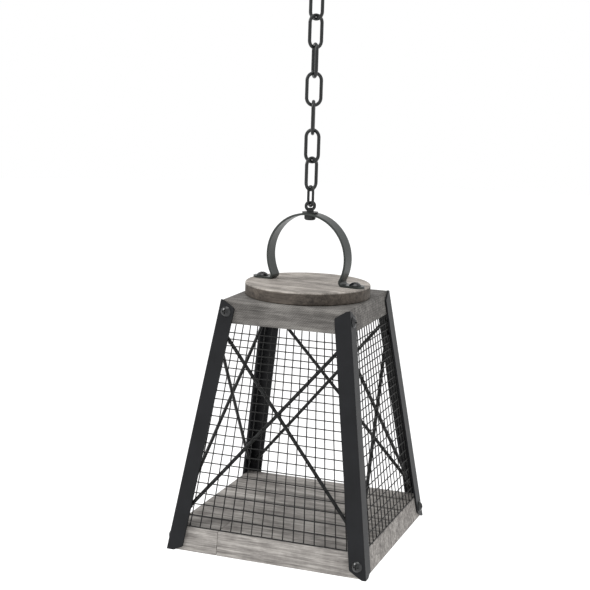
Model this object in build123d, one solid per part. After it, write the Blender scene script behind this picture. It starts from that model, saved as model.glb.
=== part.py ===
from build123d import *
from math import atan, cos, hypot, sin, sqrt
import os

# A hanging lantern: tapered cage of angle-steel legs, wooden base, block and disc, strap handle and chain.
# Millimetres, +Z up, front towards -Y. The cage is worked out with the ends of its legs at z = 0, and every
# piece is then moved down so that the origin is inside the top of the uppermost link, where a hook bears.

# --- driving dimensions ---------------------------------------------------------------------------------
# cage
cage_height = 294.0
base_half = 122.5          # half the width over the legs at their lower ends
top_half = 78.5            # half the width over the legs at their upper ends
flange_width = 19.0        # angle section of the legs
leg_thickness = 2.2
leg_corner_radius = 1.5
screwed_clip = (14.0, 9.0)  # corner cut off a foot that has a screw: across the flange, and along it
plain_clip = (9.5, 5.0)    # corner cut off a foot that has none
top_clip = (16.0, 9.5)     # corner cut off each flange at the top
clip_radius = 3.0          # where a cut meets the flange's edges

# wood
base_thickness = 28.5
block_thickness = 27.0
disc_radius = 74.5
disc_thickness = 15.0
disc_edge_radius = 1.5
board_width = 41.4
front_board_width = 42.3
front_seam_x = -60.0       # butt joint in the front board

# rod braces and wire mesh
brace_diameter = 4.2
brace_foot_gap = 1.5       # from the base up to where a brace's line meets the cage's corner
brace_head_gaps = {"front": 0.0, "right": 9.0, "back": 0.0, "left": 9.0}  # and from there to the block
brace_end_inset = 10.0     # from the corner, across a flange, to a rod's end
mesh_wire = 1.3
mesh_side_room = 7.0       # least distance from the panel's sides to the cage's corners, at its foot
mesh_column_pitch = 12.84  # at the foot of the panel; the wires close up with the legs
mesh_row_pitch = 13.6      # first row
mesh_row_ratio = 0.974     # each row over the one below
mesh_top_gap = 5.0         # least length of the upright wires above the last row

# screws
leg_screw_head_diameter = 12.5
leg_screw_head_height = 3.8
leg_screw_diameter = 4.0
leg_screw_length = 20.0
leg_screw_recess = 6.2
handle_screw_head_diameter = 14.5
handle_screw_head_height = 4.2
handle_screw_diameter = 5.0
handle_screw_length = 34.0
handle_screw_recess = 7.4
screw_rim = 0.6            # straight edge of a head under its dome
recess_width = 1.3

# handle
strap_width = 17.0
strap_thickness = 2.5
handle_radius = 52.4       # outside of the bow
handle_centre_height = 30.6
fold_radius = 4.0          # centreline of the folds at the feet
foot_length = 24.3         # from the bow's fold to the round end of a foot
screw_from_fold = 13.0
handle_turn = -7.7         # the handle stands a little askew on the disc

# hanging eye
eye_wire = 3.7
eye_width = 15.0
eye_height = 11.4
eye_bend_radius = 3.4
eye_shank_diameter = 6.0
swivel_clearance = 0.06
collar_diameter = 8.5
collar_height = 1.0
washer_diameter = 19.0
washer_thickness = 1.2
washer_clearance = 0.25
nut_diameter = 13.5
nut_height = 5.5
nut_edge_radius = 2.2
nut_gap = 0.65             # below the crown of the strap, so that the flat nut clears its curve
stack_gap = 0.1

# chain
link_wire = 4.0
link_length = 41.0
link_width = 21.0
small_link_wire = 3.2
small_link_length = 26.0
small_link_width = 14.5
link_gap = 0.3             # play where two wires bear on each other
# how far each link is turned about the chain's line, from the small one at the eye to the uppermost
link_turns = (138.0, 67.0, 350.0, 287.0, 214.0, 123.0, 56.0, -18.0)

# --- worked out from them -------------------------------------------------------------------------------
slope = (base_half - top_half) / cage_height
lean = atan(slope)
slant = cage_height / cos(lean)
wood_inset = leg_thickness / cos(lean)
block_bottom = cage_height - block_thickness
brace_low = base_thickness + brace_foot_gap
disc_top = cage_height + disc_thickness
strap_top = disc_top + handle_centre_height + handle_radius
bow_radius = handle_radius - strap_thickness / 2
fold_centre_height = fold_radius + strap_thickness / 2
fold_reach = sqrt((bow_radius + fold_radius) ** 2 - (handle_centre_height - fold_centre_height) ** 2)
foot_reach = fold_reach + foot_length
handle_screw_reach = fold_reach + screw_from_fold
washer_top = strap_top + washer_thickness
eye_bottom = washer_top + stack_gap + collar_height
eye_crown = eye_bottom + eye_height
first_link_bottom = eye_crown - eye_wire - link_gap - small_link_wire
full_link_pitch = link_length - 2 * link_wire - link_gap
link_count = len(link_turns)


def link_bottom(number):
    """Height of a link's lowest point; link 1 is the small one at the eye."""
    if number == 1:
        return first_link_bottom
    second = first_link_bottom + small_link_length - small_link_wire - link_gap - link_wire
    return second + (number - 2) * full_link_pitch


hang_height = link_bottom(link_count) + link_length - link_wire
to_origin = Pos(0, 0, -hang_height)

sides = {"front": 0, "right": 90, "back": 180, "left": 270}
meshed_sides = ("front", "right")


def half_width(z):
    """Half the cage's width over its outer faces, at a height."""
    return base_half - slope * z


def face_half(v):
    """The same, at a distance v up a slanted side."""
    return half_width(v * cos(lean))


# A side's own plane: x across, y up the slope, z outwards, origin at the middle of its foot.
front_plane = Plane(origin=(0, -base_half, 0), x_dir=(1, 0, 0), z_dir=(0, -cos(lean), sin(lean)))


def on_side(shape, turn):
    """Puts a shape drawn on a side's plane on the side that is turned this far from the front."""
    return Rot(0, 0, turn) * (front_plane * shape)


def tapered_block(low, high, inset=0.0):
    """The cage's square section from one height to another."""
    foot = Pos(0, 0, low) * Rectangle(2 * (half_width(low) - inset), 2 * (half_width(low) - inset))
    head = Pos(0, 0, high) * Rectangle(2 * (half_width(high) - inset), 2 * (half_width(high) - inset))
    return loft([foot, head])


# --- legs -----------------------------------------------------------------------------------------------
edge_length = hypot(base_half - top_half, slant)
edge_up = Vector((base_half - top_half) / edge_length, slant / edge_length)
level_per_square = edge_length / slant     # level distance for one square to a leg's edge


def flange_edge(v, across):
    """A point on the left flange, this far in from the cage's corner."""
    return Vector(-face_half(v) + across * level_per_square, v)


def clipped(corner, across_to, along_to, clip):
    """The two points that replace a corner when its tip is cut off: across the flange, then along it."""
    across, along = clip
    return [corner + (across_to - corner).normalized() * across, corner + (along_to - corner).normalized() * along]


def flange(foot_clip):
    """The flange at the left end of a side, as a plate in that side's plane."""
    outer_foot, outer_head = flange_edge(0, 0), flange_edge(slant, 0)
    inner_foot, inner_head = flange_edge(0, flange_width), flange_edge(slant, flange_width)
    foot_cut = clipped(inner_foot, outer_foot, inner_head, foot_clip)
    head_cut = clipped(inner_head, outer_head, inner_foot, top_clip)
    plate = make_face(Polyline(outer_foot, *foot_cut, *reversed(head_cut), outer_head, close=True))
    cuts = foot_cut + head_cut
    corners = [v for v in plate.vertices() if min((Vector(v) - cut).length for cut in cuts) < clip_radius / 10]
    return extrude(fillet(corners, clip_radius), -leg_thickness)


def screw_place(height):
    """Middle of the left flange at a height."""
    return flange_edge(height / cos(lean), flange_width / 2)


def at_screw(shape, height, right=False):
    """Moves a shape to a screw's place on a side's plane, at its left or right flange."""
    place = screw_place(height)
    return Pos(-place.X if right else place.X, place.Y, 0) * shape


low_screw_height = base_thickness / 2
high_screw_height = cage_height - block_thickness / 2


def leg():
    """The front left leg: screwed at the top through its front flange, at the foot through its left one."""
    front_flange = on_side(flange(plain_clip), sides["front"])
    left_flange = on_side(mirror(flange(screwed_clip), about=Plane.YZ), sides["left"])
    room = Pos(0, 0, cage_height / 2) * Box(4 * base_half, 4 * base_half, cage_height)
    angle = (front_flange + left_flange) & room
    corner = angle.edges().filter_by(lambda e: e.length > cage_height).sort_by(lambda e: e.center().X + e.center().Y)[0]
    angle = fillet(corner, leg_corner_radius)
    hole = Cylinder(leg_screw_diameter / 2, 4 * leg_thickness)
    angle -= on_side(at_screw(hole, high_screw_height), sides["front"])
    angle -= on_side(at_screw(hole, low_screw_height, right=True), sides["left"])
    return angle


# --- screws ---------------------------------------------------------------------------------------------
def screw(head_diameter, head_height, diameter, length, recess):
    """A dome-head screw: bearing face at z = 0, head above, shank below, cross recess in the head."""
    radius, rise = head_diameter / 2, head_height - screw_rim
    dome = (radius**2 + rise**2) / (2 * rise)
    head = extrude(Circle(radius), head_height)
    head &= Pos(0, 0, head_height - dome) * Sphere(dome)
    slot = Pos(0, 0, head_height) * Box(recess, recess_width, head_height)
    shank = Pos(0, 0, -length / 2) * Cylinder(diameter / 2, length)
    return head - slot - Rot(0, 0, 90) * slot + shank


def leg_screw():
    return screw(leg_screw_head_diameter, leg_screw_head_height, leg_screw_diameter, leg_screw_length,
                 leg_screw_recess)


def handle_screw():
    return screw(handle_screw_head_diameter, handle_screw_head_height, handle_screw_diameter,
                 handle_screw_length, handle_screw_recess)


def leg_screws(height, right):
    """Four leg screws at one height, one on each side."""
    return [on_side(at_screw(leg_screw(), height, right), turn) for turn in sides.values()]


def on_handle(shape):
    """Turns a shape drawn square to the lantern with the handle."""
    return Rot(0, 0, handle_turn) * shape


def handle_screws():
    on_foot = Pos(handle_screw_reach, 0, disc_top + strap_thickness) * Rot(0, 0, 20) * handle_screw()
    return [on_handle(on_foot), on_handle(Rot(0, 0, 180) * on_foot)]


# --- wood -----------------------------------------------------------------------------------------------
def without_screws(wood, screws):
    """Cuts the screws' shanks out of a piece of wood."""
    for each in screws:
        wood -= each
    return wood


def base_boards(screws):
    """The base, sawn along its boards; the front board is in two lengths."""
    slab = tapered_block(0, base_thickness, wood_inset)
    reach = base_half - wood_inset
    joints = [-reach, -reach + front_board_width]
    while joints[-1] + board_width < reach - board_width / 2:
        joints.append(joints[-1] + board_width)
    joints.append(reach)
    boards = {}
    for number, (near, far) in enumerate(zip(joints, joints[1:]), start=1):
        cutter = Pos(0, (near + far) / 2, base_thickness / 2) * Box(2 * base_half, far - near, 2 * base_thickness)
        board = without_screws(slab & cutter, screws)
        if number > 1:
            boards[f"base_board_{number}"] = board
            continue
        left = Pos(front_seam_x - base_half, 0, 0) * Box(2 * base_half, 4 * base_half, 4 * base_thickness)
        boards["base_board_front_left"] = board & left
        boards["base_board_front_right"] = board - left
    return boards


def top_block(screws):
    return without_screws(tapered_block(block_bottom, cage_height, wood_inset), screws)


def top_disc(screws):
    disc = Pos(0, 0, cage_height + disc_thickness / 2) * Cylinder(disc_radius, disc_thickness)
    disc = fillet(disc.edges(), disc_edge_radius)
    return without_screws(disc, screws)


# --- braces ---------------------------------------------------------------------------------------------
def brace_room():
    """The part of a side that its rods may fill, short of the legs' corners, as a thick plate in its plane."""
    foot, head = flange_edge(0, brace_end_inset), flange_edge(slant, brace_end_inset)
    outline = Polyline(foot, (-foot.X, foot.Y), (-head.X, head.Y), head, close=True)
    return extrude(make_face(outline), 4 * brace_diameter, both=True)


def rod(start, end, diameter):
    """A round rod between two points."""
    run = end - start
    return extrude(Plane(origin=start, z_dir=run) * Circle(diameter / 2), run.length)


def side_braces(side):
    """One side's X, welded on inside the flanges, or inside the mesh where there is one: the through rod, and
    the two half rods that meet it."""
    inset = leg_thickness + brace_diameter / 2 + (mesh_thickness if side in meshed_sides else 0)
    low, high = brace_low / cos(lean), (block_bottom - brace_head_gaps[side]) / cos(lean)
    falling = rod(Vector(-face_half(high), high, -inset), Vector(face_half(low), low, -inset), brace_diameter)
    rising = rod(Vector(-face_half(low), low, -inset), Vector(face_half(high), high, -inset), brace_diameter)
    room = brace_room()
    through = falling & room
    halves = ((rising & room) - falling).solids().sort_by(Axis.Y)
    return {"long": through, "lower": halves[0], "upper": halves[-1]}


# --- mesh -----------------------------------------------------------------------------------------------
mesh_thickness = 2 * mesh_wire
mesh_foot = (base_thickness + (leg_thickness + mesh_thickness) * sin(lean)) / cos(lean)
mesh_head = (block_bottom + leg_thickness * sin(lean)) / cos(lean)
mesh_columns = 1 + int(2 * (face_half(mesh_foot) - mesh_side_room) / mesh_column_pitch)


def row_heights():
    """Middle of each level wire, up the slope: the rows close up in a steady ratio."""
    heights, pitch = [mesh_foot + mesh_wire / 2], mesh_row_pitch
    while heights[-1] + pitch < mesh_head - mesh_top_gap:
        heights.append(heights[-1] + pitch)
        pitch *= mesh_row_ratio
    return heights


def column_at(column, v):
    """A fanned wire's middle, across the side, at a distance up the slope."""
    from_middle = (column - (mesh_columns - 1) / 2) * mesh_column_pitch
    return from_middle * face_half(v) / face_half(mesh_foot)


def mesh_panel():
    """A side's mesh as one perforated plate, as thick as its two crossed layers of wire. The upright wires run
    on above the last row, up to the block."""
    rows, half = row_heights(), mesh_wire / 2

    def cell(left, right, low, high):
        corners = [(column_at(left, low) + half, low), (column_at(right, low) - half, low),
                   (column_at(right, high) - half, high), (column_at(left, high) + half, high)]
        return Wire.make_polygon([Vector(*corner) for corner in corners], close=True)

    low, high, last = rows[0] - half, rows[-1] + half, mesh_columns - 1
    rim = [(column_at(0, low) - half, low), (column_at(last, low) + half, low)]
    for column in range(last, -1, -1):
        top = column_at(column, mesh_head)
        rim += [(top + half, mesh_head), (top - half, mesh_head)]
        if column:
            rim += [(column_at(column, high) - half, high), (column_at(column - 1, high) + half, high)]
    outline = Wire.make_polygon([Vector(*corner) for corner in rim], close=True)
    cells = [cell(column, column + 1, below + half, above - half)
             for below, above in zip(rows, rows[1:]) for column in range(last)]
    plate = extrude(Face(outline, cells), -mesh_thickness)
    return Pos(0, 0, -leg_thickness) * plate


# --- handle and hanging eye -----------------------------------------------------------------------------
def strap():
    """The omega strap: a bow, a tight fold at each end and two feet with round ends."""
    half, centre = strap_thickness / 2, handle_centre_height
    fold_centre = Vector(fold_reach, fold_centre_height)
    share = bow_radius / (bow_radius + fold_radius)
    meet = Vector(fold_reach * share, centre + (fold_centre_height - centre) * share)
    bow_line = ThreePointArc((-meet.X, meet.Y), (0, centre + bow_radius), meet)
    to_meet = (meet - fold_centre).normalized()
    fold_middle = (to_meet + Vector(0, -1)).normalized()
    if fold_middle.X > 0:
        fold_middle = -fold_middle
    middle = fold_centre + fold_middle * fold_radius
    right_fold = ThreePointArc(meet, middle, (fold_reach, half))
    right_foot = Line((fold_reach, half), (foot_reach, half))
    left_fold = ThreePointArc((-meet.X, meet.Y), (-middle.X, middle.Y), (-fold_reach, half))
    left_foot = Line((-fold_reach, half), (-foot_reach, half))
    profile = Sketch() + [thickened(line) for line in (left_foot, left_fold, bow_line, right_fold, right_foot)]
    band = extrude(Plane.XZ * profile, strap_width / 2, both=True)
    plan = extrude(SlotOverall(2 * foot_reach, strap_width), 2 * handle_radius + strap_thickness)
    band = Pos(0, 0, disc_top) * (band & plan)
    band -= Pos(0, 0, strap_top) * Cylinder(eye_shank_diameter / 2 + swivel_clearance, 4 * strap_thickness)
    for reach in (-handle_screw_reach, handle_screw_reach):
        band -= Pos(reach, 0, disc_top) * Cylinder(handle_screw_diameter / 2, 4 * strap_thickness)
    return on_handle(band)


def thickened(line):
    """A line or arc of the strap's centre, given the strap's thickness."""
    half = strap_thickness / 2
    if line.geom_type == GeomType.LINE:
        return Pos(*((line @ 0 + line @ 1) / 2)) * Rectangle(line.length, strap_thickness)
    centre, radius = line.arc_center, line.radius
    starts = [centre + (line @ 0 - centre).normalized() * r for r in (radius - half, radius + half)]
    middles = [centre + (line @ 0.5 - centre).normalized() * r for r in (radius - half, radius + half)]
    ends = [centre + (line @ 1 - centre).normalized() * r for r in (radius - half, radius + half)]
    inner, outer = [ThreePointArc(starts[i], middles[i], ends[i]) for i in (0, 1)]
    return make_face([inner, outer, Line(starts[0], starts[1]), Line(ends[0], ends[1])])


def ring(length, width, wire):
    """An oval ring of round wire, standing in the XZ plane with its lowest point at the origin."""
    path = SlotCenterToCenter(length - width, width - wire, rotation=90)
    path = (Plane.XZ * path).face().outer_wire()
    start = path @ 0
    section = Plane(origin=start, z_dir=path % 0) * Circle(wire / 2)
    return Pos(0, 0, length / 2) * sweep(section, path)


def hanging_eye():
    """A squat eye on a collar, with a shank down through washer, strap and nut."""
    outline = RectangleRounded(eye_width - eye_wire, eye_height - eye_wire, eye_bend_radius)
    path = (Plane.XZ * outline).face().outer_wire()
    section = Plane(origin=path @ 0, z_dir=path % 0) * Circle(eye_wire / 2)
    eye = Pos(0, 0, eye_bottom + eye_height / 2) * sweep(section, path)
    collar_low = washer_top + stack_gap
    collar = Pos(0, 0, collar_low) * extrude(Circle(collar_diameter / 2), collar_height + eye_wire / 3)
    shank_low = strap_top - strap_thickness - nut_gap - nut_height
    shank = Pos(0, 0, shank_low) * extrude(Circle(eye_shank_diameter / 2), collar_low - shank_low + eye_wire / 3)
    return Rot(0, 0, link_turns[0] + 90) * (eye + collar + shank)


def eye_washer():
    washer = Circle(washer_diameter / 2) - Circle(eye_shank_diameter / 2 + washer_clearance)
    return Pos(0, 0, strap_top) * extrude(washer, washer_thickness)


def eye_nut():
    """A round nut on the shank's end, with its lower edge rounded."""
    low = strap_top - strap_thickness - nut_gap - nut_height
    nut = Pos(0, 0, low) * extrude(Circle(nut_diameter / 2), nut_height)
    nut = fillet(nut.edges().sort_by(Axis.Z)[0], nut_edge_radius)
    return nut - Pos(0, 0, low) * extrude(Circle(eye_shank_diameter / 2), nut_height)


def chain_link(number):
    """Link 1 is the small one at the eye; the rest are alike."""
    if number == 1:
        oval = ring(small_link_length, small_link_width, small_link_wire)
    else:
        oval = ring(link_length, link_width, link_wire)
    return Pos(0, 0, link_bottom(number)) * Rot(0, 0, link_turns[number - 1]) * oval


# --- everything -----------------------------------------------------------------------------------------
def lantern():
    """Every node's name and shape, with the cage's foot at z = 0."""
    top_screws = leg_screws(high_screw_height, right=False)
    low_screws = leg_screws(low_screw_height, right=True)
    strap_screws = handle_screws()
    nodes = base_boards(low_screws)
    nodes["top_block"] = top_block(top_screws + strap_screws)
    nodes["top_disc"] = top_disc(strap_screws)
    for name, turn in (("front_left", 0), ("front_right", 90), ("back_right", 180), ("back_left", 270)):
        nodes[f"leg_{name}"] = Rot(0, 0, turn) * leg()
    for side, turn in sides.items():
        for part, shape in side_braces(side).items():
            nodes[f"{side}_brace_{part}"] = on_side(shape, turn)
    for side in meshed_sides:
        nodes[f"{side}_mesh"] = on_side(mesh_panel(), sides[side])
    nodes["leg_screws_top"] = Compound(children=[s.solid() for s in top_screws])
    nodes["leg_screws_bottom"] = Compound(children=[s.solid() for s in low_screws])
    nodes["handle_strap"] = strap()
    nodes["handle_screws"] = Compound(children=[s.solid() for s in strap_screws])
    nodes["hanging_eye"] = hanging_eye()
    nodes["eye_washer"] = eye_washer()
    nodes["eye_nut"] = eye_nut()
    for number in range(1, link_count + 1):
        nodes[f"link_{number}"] = chain_link(number)
    return nodes


os.makedirs("parts", exist_ok=True)
for name, shape in lantern().items():
    export_step(to_origin * shape, f"parts/{name}.step")
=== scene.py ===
"""A hanging lantern: weathered pine base, block and disc, black angle-steel legs, rod braces, welded mesh,
gunmetal strap handle and a steel chain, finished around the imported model."""
import math
import random

import bmesh
import bpy
from mathutils import Matrix, Vector, noise


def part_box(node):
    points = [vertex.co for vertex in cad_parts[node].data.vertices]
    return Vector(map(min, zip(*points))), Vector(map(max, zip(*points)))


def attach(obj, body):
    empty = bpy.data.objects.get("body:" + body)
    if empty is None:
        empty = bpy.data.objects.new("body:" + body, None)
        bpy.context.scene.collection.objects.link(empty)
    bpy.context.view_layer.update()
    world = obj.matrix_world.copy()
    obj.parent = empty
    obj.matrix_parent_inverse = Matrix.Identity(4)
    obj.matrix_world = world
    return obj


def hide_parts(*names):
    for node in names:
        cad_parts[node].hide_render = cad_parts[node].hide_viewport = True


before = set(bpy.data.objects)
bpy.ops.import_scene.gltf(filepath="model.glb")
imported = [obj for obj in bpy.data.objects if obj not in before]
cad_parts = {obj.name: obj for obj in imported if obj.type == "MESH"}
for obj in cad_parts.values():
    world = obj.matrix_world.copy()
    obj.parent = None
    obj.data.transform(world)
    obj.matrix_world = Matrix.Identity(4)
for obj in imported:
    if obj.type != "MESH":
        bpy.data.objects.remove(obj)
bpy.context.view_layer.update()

MM = 0.001


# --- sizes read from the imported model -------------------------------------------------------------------
base_low, base_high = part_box("base_board_3")
block_low, block_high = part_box("top_block")
disc_low, disc_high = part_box("top_disc")
leg_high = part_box("leg_front_right")[1]
slope = (base_high.x - block_high.x) / (block_low.z - base_low.z)
lean = math.atan(slope)
foot_z = base_low.z
cage_half = leg_high.x                     # half the width over the legs at their feet
wood_half = base_high.x                    # and over the wood there


def cage_half_at(z):
    return cage_half - slope * (z - foot_z)


def wood_half_at(z):
    return wood_half - slope * (z - foot_z)


# --- small helpers --------------------------------------------------------------------------------------
def linear(hexcode):
    """An sRGB hex colour as linear RGBA."""
    parts = [int(hexcode[i:i + 2], 16) / 255 for i in (1, 3, 5)]
    return [c / 12.92 if c <= 0.04045 else ((c + 0.055) / 1.055) ** 2.4 for c in parts] + [1.0]


def add(tree, kind, links=None, values=None, stops=None, **settings):
    """Adds a node with its settings, socket values, incoming links and colour stops."""
    node = tree.nodes.new(kind)
    for key, value in settings.items():
        setattr(node, key, value)
    for key, value in (values or {}).items():
        node.inputs[key].default_value = value
    for key, source in (links or {}).items():
        tree.links.new(source, node.inputs[key])
    if stops:
        band = node.color_ramp.elements
        while len(band) < len(stops):
            band.new(0.5)
        for element, (place, colour) in zip(band, stops):
            element.position, element.color = place, linear(colour)
    return node


def new_material(name):
    material = bpy.data.materials.new(name)
    material.use_nodes = True
    material.node_tree.nodes.clear()
    return material, material.node_tree


def close_material(tree, links, values):
    """Ends a material with its shader and output."""
    shader = add(tree, "ShaderNodeBsdfPrincipled", links, values)
    add(tree, "ShaderNodeOutputMaterial", {"Surface": shader.outputs[0]})


def finish_piece(name, bm, material, body, slot, *nodes, smooth=True):
    """Turns a bmesh into a piece that rides on a body and stands for CAD nodes."""
    mesh = bpy.data.meshes.new(name)
    bm.to_mesh(mesh)
    bm.free()
    mesh.materials.append(material)
    for face in mesh.polygons:
        face.use_smooth = smooth
    piece = bpy.data.objects.new(name, mesh)
    bpy.context.collection.objects.link(piece)
    if nodes:
        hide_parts(*nodes)
    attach(piece, body)
    return piece


def dress(node, material):
    """Gives a CAD node its finish."""
    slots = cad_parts[node].data.materials
    slots.clear()
    slots.append(material)


# --- materials ------------------------------------------------------------------------------------------
def blend(tree, first, second, amount, mode="MIX"):
    """One colour over another."""
    node = add(tree, "ShaderNodeMix", data_type="RGBA", blend_type=mode)
    node.inputs[0].default_value = amount
    tree.links.new(first, node.inputs[6])
    tree.links.new(second, node.inputs[7])
    return node.outputs[2]


def average(tree, first, second, amount):
    """Part way from one value to another."""
    return add(tree, "ShaderNodeMix", {2: first, 3: second}, {0: amount}).outputs[0]


def grey_pine(name, shift, grain_turn=0.0, tones=("#504c49", "#817d79", "#a6a29d"), joints=(), saw=False,
              rim_below=None):
    """Weathered pine under a thin grey wash: soft wood worn back between darker summer rings, so it shows
    long streaks of dark grain, short dark pores and pale patches where the wash lies thick."""
    ring_width, fibre_width, patch = 4.5 * MM, 0.9 * MM, 38 * MM
    material, tree = new_material(name)
    place = add(tree, "ShaderNodeTexCoord").outputs["Object"]
    turned = add(tree, "ShaderNodeMapping", {"Vector": place},
                 {"Location": shift, "Rotation": (0, 0, grain_turn)}).outputs[0]
    along = add(tree, "ShaderNodeMapping", {"Vector": turned}, {"Scale": (0.055, 1, 1)}).outputs[0]
    short = add(tree, "ShaderNodeMapping", {"Vector": turned}, {"Scale": (0.035, 1, 1)}).outputs[0]
    rings = add(tree, "ShaderNodeTexNoise", {"Vector": along},
                {"Scale": 1 / ring_width, "Detail": 5, "Roughness": 0.62, "Distortion": 0.35}).outputs[0]
    fibres = add(tree, "ShaderNodeTexNoise", {"Vector": short},
                 {"Scale": 1 / fibre_width, "Detail": 3, "Roughness": 0.7}).outputs[0]
    patches = add(tree, "ShaderNodeTexNoise", {"Vector": turned},
                  {"Scale": 1 / patch, "Detail": 6, "Roughness": 0.65}).outputs[0]
    grain = average(tree, rings, fibres, 0.42)
    colour = add(tree, "ShaderNodeValToRGB", {"Fac": average(tree, grain, patches, 0.3)},
                 stops=[(0.39, tones[0]), (0.5, tones[1]), (0.6, tones[2])]).outputs[0]
    height = grain
    if saw:
        tooth = 2.1 * MM
        tipped = add(tree, "ShaderNodeMapping", {"Vector": place},
                     {"Rotation": (0, math.radians(-40), 0)}).outputs[0]
        marks = add(tree, "ShaderNodeTexWave", {"Vector": tipped},
                    {"Scale": 0.314 / tooth, "Distortion": 4.0, "Detail": 3, "Detail Scale": 1.5}).outputs["Fac"]
        scratch = add(tree, "ShaderNodeValToRGB", {"Fac": marks},
                      stops=[(0.0, "#c4c4c4"), (0.5, "#ffffff"), (1.0, "#ffffff")]).outputs[0]
        colour = blend(tree, colour, scratch, 0.7, "MULTIPLY")
        height = average(tree, grain, marks, 0.4)
    if joints:
        parts = add(tree, "ShaderNodeSeparateXYZ", {"Vector": place})
        on_top = add(tree, "ShaderNodeMapRange", {"Value": parts.outputs["Z"]},
                     {"From Min": base_high.z - 1.6 * MM, "From Max": base_high.z - 0.6 * MM}).outputs[0]
        # Beside each joint the top faces darken: partly a stain in the joint, partly painted shade of the gap
        # between the boards.
        for joint in joints:
            near = add(tree, "ShaderNodeMath", {0: parts.outputs["Y"]}, {1: joint},
                       operation="SUBTRACT").outputs[0]
            gap = add(tree, "ShaderNodeMath", {0: near}, operation="ABSOLUTE").outputs[0]
            joint_stain_and_shade = add(tree, "ShaderNodeMapRange", {"Value": gap},
                       {"From Min": 0.8 * MM, "From Max": 4.2 * MM, "To Min": 0.62, "To Max": 0.0}).outputs[0]
            amount = add(tree, "ShaderNodeMath", {0: joint_stain_and_shade, 1: on_top}, operation="MULTIPLY").outputs[0]
            shade = add(tree, "ShaderNodeValToRGB", {"Fac": amount},
                        stops=[(0.0, "#ffffff"), (1.0, "#000000")]).outputs[0]
            colour = blend(tree, colour, shade, 1.0, "MULTIPLY")
    # Painted shade: the disc's rim, below the top face, is painted darker than the top to stand in for the shade on
    # its side.
    if rim_below is not None:
        level = add(tree, "ShaderNodeSeparateXYZ", {"Vector": place}).outputs["Z"]
        scuff_and_rim_shade_mask = add(tree, "ShaderNodeMapRange", {"Value": level},
                   {"From Min": rim_below - 0.6 * MM, "From Max": rim_below + 0.4 * MM}).outputs[0]
        painted_rim_shade = add(tree, "ShaderNodeValToRGB", {"Fac": scuff_and_rim_shade_mask},
                        stops=[(0.0, "#8a837c"), (1.0, "#ffffff")]).outputs[0]
        colour = blend(tree, colour, painted_rim_shade, 1.0, "MULTIPLY")
    rough = add(tree, "ShaderNodeMapRange", {"Value": grain}, {"To Min": 0.92, "To Max": 0.7}).outputs[0]
    bump = add(tree, "ShaderNodeBump", {"Height": height}, {"Strength": 0.55, "Distance": 0.5 * MM}).outputs[0]
    close_material(tree, {"Base Color": colour, "Roughness": rough, "Normal": bump}, {"IOR": 1.45})
    return material


def coated_steel(name, low, high, roughness, grit, wear=None, metallic=0.0, shine=0.5):
    """Powder-coated steel: an even satin skin with a fine orange peel and faint clouding of its gloss."""
    cloud = 30 * MM
    material, tree = new_material(name)
    place = add(tree, "ShaderNodeTexCoord").outputs["Object"]
    clouds = add(tree, "ShaderNodeTexNoise", {"Vector": place},
                 {"Scale": 1 / cloud, "Detail": 5, "Roughness": 0.6}).outputs[0]
    peel = add(tree, "ShaderNodeTexNoise", {"Vector": place}, {"Scale": 1 / grit, "Detail": 2}).outputs[0]
    colour = add(tree, "ShaderNodeValToRGB", {"Fac": clouds}, stops=[(0.3, low), (0.7, high)]).outputs[0]
    if wear:
        scuffs = add(tree, "ShaderNodeTexNoise", {"Vector": place},
                     {"Scale": 1 / (4 * MM), "Detail": 8, "Roughness": 0.75}).outputs[0]
        scuff_and_rim_shade_mask = add(tree, "ShaderNodeMapRange", {"Value": scuffs}, {"From Min": 0.6, "From Max": 0.72}).outputs[0]
        rubbed = add(tree, "ShaderNodeMix", data_type="RGBA")
        rubbed.inputs[7].default_value = linear(wear)
        tree.links.new(scuff_and_rim_shade_mask, rubbed.inputs[0])
        tree.links.new(colour, rubbed.inputs[6])
        colour = rubbed.outputs[2]
    rough = add(tree, "ShaderNodeMapRange", {"Value": clouds},
                {"To Min": roughness - 0.08, "To Max": roughness + 0.1}).outputs[0]
    bump = add(tree, "ShaderNodeBump", {"Height": peel}, {"Strength": 0.25, "Distance": 0.08 * MM}).outputs[0]
    close_material(tree, {"Base Color": colour, "Roughness": rough, "Normal": bump}, {"Metallic": metallic,
                   "Specular IOR Level": shine})
    return material


leg_coat = coated_steel("powder_coated_leg_steel", "#0d0e10", "#151619", 0.46, 0.9 * MM, shine=0.22)
brace_coat = coated_steel("powder_coated_rod_steel", "#0c0d0d", "#141616", 0.45, 0.8 * MM, shine=0.3)
mesh_coat = coated_steel("black_coated_wire", "#0a0a0a", "#111110", 0.5, 0.6 * MM, shine=0.25)
strap_coat = coated_steel("gunmetal_strap_steel", "#242826", "#343836", 0.36, 1.1 * MM, "#565c59", 0.35)
screw_black = coated_steel("black_oxide_screw_steel", "#090a0b", "#121315", 0.2, 0.5 * MM)
chain_black = coated_steel("black_chain_steel", "#111313", "#1b1e1e", 0.34, 0.7 * MM, "#3a3e3e", 0.3)


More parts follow.
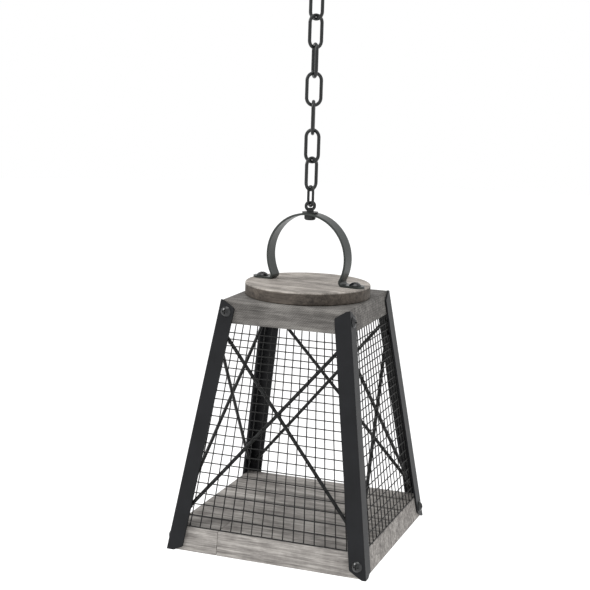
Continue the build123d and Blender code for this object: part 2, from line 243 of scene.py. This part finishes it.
# --- wood -----------------------------------------------------------------------------------------------
def tapered_timber(corners, round_over, cuts, roughness, seed):
    """Six-sided timber from its eight corners, with eased edges and faintly uneven faces."""
    bm = bmesh.new()
    bmesh.ops.create_cube(bm, size=2.0)
    for vert in bm.verts:
        key = (vert.co.x > 0, vert.co.y > 0, vert.co.z > 0)
        vert.co = corners[key]
    bmesh.ops.bevel(bm, geom=bm.edges[:], offset=round_over, segments=3, profile=0.5, affect="EDGES",
                    material=-1)
    for axis in range(3):
        low = min(v.co[axis] for v in bm.verts)
        high = max(v.co[axis] for v in bm.verts)
        for step in range(1, cuts[axis]):
            level = low + (high - low) * step / cuts[axis]
            plane = [0, 0, 0]
            plane[axis] = 1
            spot = [0, 0, 0]
            spot[axis] = level
            bmesh.ops.bisect_plane(bm, geom=bm.verts[:] + bm.edges[:] + bm.faces[:], plane_co=spot, plane_no=plane)
    middle = sum((v.co for v in bm.verts), Vector()) / len(bm.verts)
    for vert in bm.verts:
        away = (vert.co - middle).normalized()
        vert.co -= away * roughness * (0.5 + 0.5 * noise.noise((vert.co + Vector(seed)) / (9 * MM)))
    return bm


def board_corners(near, far, left=None, right=None):
    """Corners of a base board between two depths; outer boards lean with the cage."""
    low, high = base_low.z, base_high.z
    corners = {}
    for top in (False, True):
        z = high if top else low
        half = wood_half_at(z)
        y0 = -half if near is None else near
        y1 = half if far is None else far
        x0 = -half if left is None else left
        x1 = half if right is None else right
        for is_right in (False, True):
            for is_back in (False, True):
                corners[(is_right, is_back, top)] = Vector((x1 if is_right else x0, y1 if is_back else y0, z))
    return corners


def base_boards():
    """The seven pieces of the base, each sawn from its own stretch of pine."""
    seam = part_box("base_board_front_left")[1].x
    names = ["base_board_front_left", "base_board_front_right"] + [f"base_board_{n}" for n in range(2, 7)]
    for index, name in enumerate(names):
        low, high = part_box(name)
        first, last = name.startswith("base_board_front"), name == "base_board_6"
        near, far = (None if first else low.y), (None if last else high.y)
        left = seam if name.endswith("front_right") else None
        right = seam if name.endswith("front_left") else None
        joints = [edge for edge in (near, far) if edge is not None]
        corners = board_corners(near, far, left, right)
        bm = tapered_timber(corners, 0.9 * MM, (24, 4, 3), 0.22 * MM, (index, 0, 0))
        wood = grey_pine(f"grey_washed_pine_{name}", (0.37 * index, 0.21 * index, 0.13 * index), joints=joints)
        finish_piece(f"{name}_timber", bm, wood, "lantern", "base_wood", name, smooth=False)


def top_block():
    """The rough-sawn block under the disc."""
    corners = {}
    for top in (False, True):
        z = block_high.z if top else block_low.z
        half = wood_half_at(z)
        for is_right in (False, True):
            for is_back in (False, True):
                corners[(is_right, is_back, top)] = Vector((half if is_right else -half,
                                                            half if is_back else -half, z))
    bm = tapered_timber(corners, 1.0 * MM, (18, 18, 4), 0.25 * MM, (3, 5, 7))
    wood = grey_pine("rough_sawn_grey_pine", (1.3, 0.4, 0.9), tones=("#3c3a37", "#5b5855", "#7a7773"), saw=True)
    finish_piece("top_block_timber", bm, wood, "lantern", "block_wood", "top_block", smooth=False)


def top_disc():
    """The turned disc: flat faces with a soft rim."""
    radius, thickness = disc_high.x, disc_high.z - disc_low.z
    middle = (disc_low + disc_high) / 2
    bm = bmesh.new()
    bmesh.ops.create_cone(bm, cap_ends=True, segments=144, radius1=radius, radius2=radius, depth=thickness,
                          matrix=Matrix.Translation(middle))
    rims = [e for e in bm.edges if abs(e.verts[0].co.z - e.verts[1].co.z) < 1e-6]
    bmesh.ops.bevel(bm, geom=rims, offset=1.5 * MM, segments=5, profile=0.5, affect="EDGES", material=-1)
    for vert in bm.verts:
        if math.hypot(vert.co.x, vert.co.y) > radius - 1.7 * MM:
            wobble = 0.35 * MM * (0.5 + 0.5 * noise.noise(vert.co / (12 * MM)))
            vert.co -= Vector((vert.co.x, vert.co.y, 0)).normalized() * wobble
    wood = grey_pine("turned_grey_pine_disc", (0.7, 1.9, 0.2), grain_turn=math.radians(8),
                     tones=("#524e49", "#857f79", "#aaa49d"), rim_below=disc_high.z - 1.5 * MM)
    piece = finish_piece("top_disc_timber", bm, wood, "lantern", "disc_wood", "top_disc")
    for face in piece.data.polygons:
        face.use_smooth = abs(face.normal.z) < 0.999
    return piece


# --- welded mesh ----------------------------------------------------------------------------------------
WIRE = 1.3 * MM
COLUMNS, COLUMN_PITCH = 18, 12.84 * MM
ROW_PITCH, ROW_RATIO, TOP_GAP = 13.6 * MM, 0.974, 5.0 * MM
FLANGE_THICKNESS = 2.2 * MM

# --- rod braces: each rod's radius, how far its end is in from the corner, and its depth behind the outer face
FLANGE_WIDTH = 19.0 * MM
ROD_RADIUS = 2.1 * MM
ROD_END_INSET = 10.0 * MM
ROD_DEPTH = FLANGE_THICKNESS + ROD_RADIUS
MESHED_ROD_DEPTH = ROD_DEPTH + 2 * WIRE


def side_matrix(turn):
    """A side's own axes: x across, y up the slope, z outwards, from the middle of its foot."""
    lay = Matrix.Rotation(math.pi / 2 - lean, 4, "X")
    return Matrix.Rotation(turn, 4, "Z") @ Matrix.Translation((0, -cage_half, foot_z)) @ lay


def wire_mesh(name, node, turn):
    """Two crossed layers of round wire: columns that close up with the legs, rows that close up with them."""
    foot = (base_high.z - foot_z + (FLANGE_THICKNESS + 2 * WIRE) * math.sin(lean)) / math.cos(lean)
    head = (block_low.z - foot_z + FLANGE_THICKNESS * math.sin(lean)) / math.cos(lean)
    rows, pitch = [foot + WIRE / 2], ROW_PITCH
    while rows[-1] + pitch < head - TOP_GAP:
        rows.append(rows[-1] + pitch)
        pitch *= ROW_RATIO

    def across(column, v):
        spread = cage_half_at(foot_z + v * math.cos(lean)) / cage_half_at(foot_z + foot * math.cos(lean))
        return (column - (COLUMNS - 1) / 2) * COLUMN_PITCH * spread

    jitter = random.Random(node)
    curve = bpy.data.curves.new(name, "CURVE")
    curve.dimensions = "3D"
    curve.bevel_depth, curve.bevel_resolution = WIRE / 2, 1
    curve.use_fill_caps = True
    outer, inner = -FLANGE_THICKNESS - WIRE * 0.5, -FLANGE_THICKNESS - WIRE * 1.42
    place = side_matrix(turn)
    runs = []
    for v in rows:
        row_shift = jitter.uniform(-0.15, 0.15) * MM if v != rows[0] else 0
        points = []
        for column in range(COLUMNS):
            points.append((across(column, v), v + row_shift + jitter.uniform(-0.1, 0.1) * MM, outer))
        points[0] = (points[0][0] - WIRE / 2, *points[0][1:])
        points[-1] = (points[-1][0] + WIRE / 2, *points[-1][1:])
        runs.append(points)
    for column in range(COLUMNS):
        ends = [foot, *rows[1:], head]
        runs.append([(across(column, v) + jitter.uniform(-0.12, 0.12) * MM, v, inner) for v in ends])
    for points in runs:
        spline = curve.splines.new("POLY")
        spline.points.add(len(points) - 1)
        for point, at in zip(spline.points, points):
            point.co = (*(place @ Vector(at)), 1)
    holder = bpy.data.objects.new(name + "_curve", curve)
    bpy.context.collection.objects.link(holder)
    mesh = bpy.data.meshes.new_from_object(holder.evaluated_get(bpy.context.evaluated_depsgraph_get()))
    bpy.data.objects.remove(holder)
    bm = bmesh.new()
    bm.from_mesh(mesh)
    finish_piece(name, bm, mesh_coat, "lantern", "mesh_steel", node)


# --- welds ----------------------------------------------------------------------------------------------
def weld_bead(bm, spot, size, stretch, seed):
    """A small uneven bead."""
    matrix = Matrix.Translation(spot) @ stretch @ Matrix.Diagonal((*size, 1))
    made = bmesh.ops.create_icosphere(bm, subdivisions=3, radius=1.0, matrix=matrix)
    for vert in made["verts"]:
        away = vert.co - spot
        vert.co = spot + away * (1 + 0.16 * noise.noise((vert.co + Vector((seed, 0, 0))) / (1.6 * MM)))


def brace_welds(side, turn, depth):
    """Beads where a side's rods come to the flanges' edges."""
    low_z, high_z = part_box(f"{side}_brace_lower")[0].z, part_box(f"{side}_brace_upper")[1].z
    place, bm = side_matrix(turn), bmesh.new()
    v_low = (low_z + ROD_RADIUS - foot_z) / math.cos(lean)
    v_high = (high_z - ROD_RADIUS - foot_z) / math.cos(lean)
    u_low, u_high = (cage_half_at(z) - ROD_END_INSET for z in (low_z, high_z))
    for way in (-1, 1):
        low, high = Vector((-way * u_low, v_low, -depth)), Vector((way * u_high, v_high, -depth))
        run = (high - low).normalized()
        turned = Matrix.Rotation(math.atan2(run.y, run.x), 4, "Z")
        step = (FLANGE_WIDTH - ROD_END_INSET) / abs(run.x)
        for seed, spot in ((1, low + run * step), (2, high - run * step)):
            at = place @ Matrix.Translation(spot + Vector((0, 0, ROD_RADIUS * 0.7))) @ turned
            weld_bead(bm, at.translation, (2.8 * MM, 2.2 * MM, 1.3 * MM), at.to_3x3().to_4x4(), way * 3 + seed)
    finish_piece(f"{side}_brace_welds", bm, brace_coat, "lantern", "brace_steel")


# --- the room -------------------------------------------------------------------------------------------
def studio():
    """A pale floor well below the lantern, soft lights round it and white surroundings."""
    floor_drop, floor_radius = 0.9, 14.0
    bm = bmesh.new()
    bmesh.ops.create_circle(bm, cap_ends=True, segments=96, radius=floor_radius,
                            matrix=Matrix.Translation((0, 0, foot_z - floor_drop)))
    mesh = bpy.data.meshes.new("floor")
    bm.to_mesh(mesh)
    bm.free()
    paper, tree = new_material("pale_studio_paper")
    close_material(tree, {}, {"Base Color": linear("#ffffff"), "Roughness": 1.0, "Emission Color": linear("#ffffff"),
                              "Emission Strength": 0.15})
    mesh.materials.append(paper)
    floor = bpy.data.objects.new("floor", mesh)
    bpy.context.collection.objects.link(floor)
    world = bpy.data.worlds.new("white_surroundings")
    world.use_nodes = True
    world.node_tree.nodes["Background"].inputs["Color"].default_value = linear("#ffffff")
    world.node_tree.nodes["Background"].inputs["Strength"].default_value = 1.0
    bpy.context.scene.world = world
    target = Vector((0, 0, (foot_z + block_high.z) / 2))
    for name, azimuth, elevation, distance, size, power in (
            ("key", -60, 38, 2.4, 0.9, 30), ("fill", 62, 12, 2.6, 1.8, 5), ("top", 10, 80, 2.2, 1.4, 14)):
        lamp = bpy.data.lights.new(name, "AREA")
        lamp.energy, lamp.size = power, size
        holder = bpy.data.objects.new(name, lamp)
        a, e = math.radians(azimuth), math.radians(elevation)
        away = Vector((math.sin(a) * math.cos(e), -math.cos(a) * math.cos(e), math.sin(e)))
        holder.location = target + away * distance
        holder.rotation_euler = away.to_track_quat("Z", "Y").to_euler()
        bpy.context.collection.objects.link(holder)
    bpy.context.scene.view_settings.view_transform = "Standard"


def camera():
    """Eye level a little above the lantern's handle, to the right of its front, tipped a touch."""
    data = bpy.data.cameras.new("camera")
    data.lens, data.sensor_width = 82.2, 36.0
    holder = bpy.data.objects.new("camera", data)
    yaw, pitch, roll = math.radians(20.0), math.radians(-10.1), math.radians(1.7)
    turned = Matrix.Rotation(yaw, 4, "Z") @ Matrix.Rotation(math.pi / 2 + pitch, 4, "X")
    holder.matrix_world = Matrix.Translation((0.525, -1.486, -0.0763)) @ turned @ Matrix.Rotation(roll, 4, "Z")
    bpy.context.collection.objects.link(holder)
    bpy.context.scene.camera = holder


camera()
studio()
base_boards()
top_block()
top_disc()
wire_mesh("front_wire_mesh", "front_mesh", 0.0)
wire_mesh("right_wire_mesh", "right_mesh", math.pi / 2)
for index, side in enumerate(("front", "right", "back", "left")):
    brace_welds(side, index * math.pi / 2, MESHED_ROD_DEPTH if side in ("front", "right") else ROD_DEPTH)
    for part in ("long", "upper", "lower"):
        dress(f"{side}_brace_{part}", brace_coat)
for corner in ("front_left", "front_right", "back_right", "back_left"):
    dress(f"leg_{corner}", leg_coat)
for node in ("leg_screws_top", "leg_screws_bottom", "handle_screws"):
    dress(node, screw_black)
dress("handle_strap", strap_coat)
for node in ["hanging_eye", "eye_washer", "eye_nut"] + [f"link_{n}" for n in range(1, 9)]:
    dress(node, chain_black)
